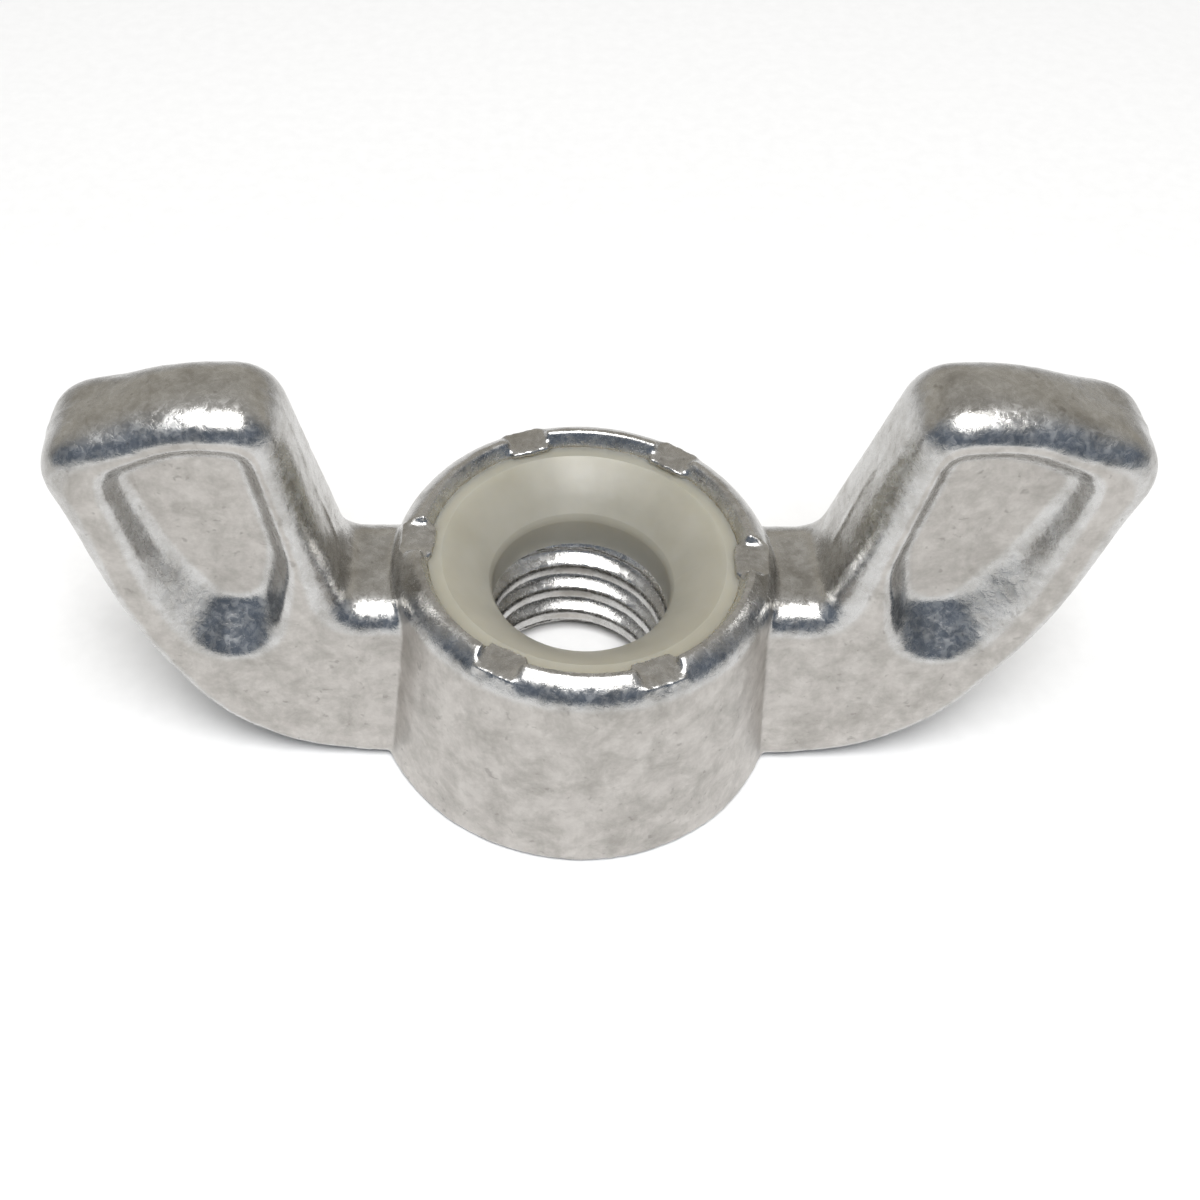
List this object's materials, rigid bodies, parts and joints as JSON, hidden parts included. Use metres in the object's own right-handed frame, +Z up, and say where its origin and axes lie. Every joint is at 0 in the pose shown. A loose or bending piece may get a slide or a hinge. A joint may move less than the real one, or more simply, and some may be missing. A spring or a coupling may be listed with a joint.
{
  "type": "wing nut",
  "caption": "Die-cast wing nut with hollow-faced wings, a tapped hub and a nylon locking ring staked into its top.",
  "frame": {"origin": "centre of the hub's flat bearing face, on the thread's axis", "axes": "+Z up the thread from the bearing face to the nylon ring, +X along the wings, Y across their faces"},
  "size_m": [0.0376, 0.0158, 0.0167],
  "materials": {
    "cast_zinc": "satin",
    "nylon": "satin"
  },
  "bodies": {
    "root": {"wing_nut_body": "cast_zinc", "nylon_lock_ring": "nylon"}
  },
  "joints": []
}
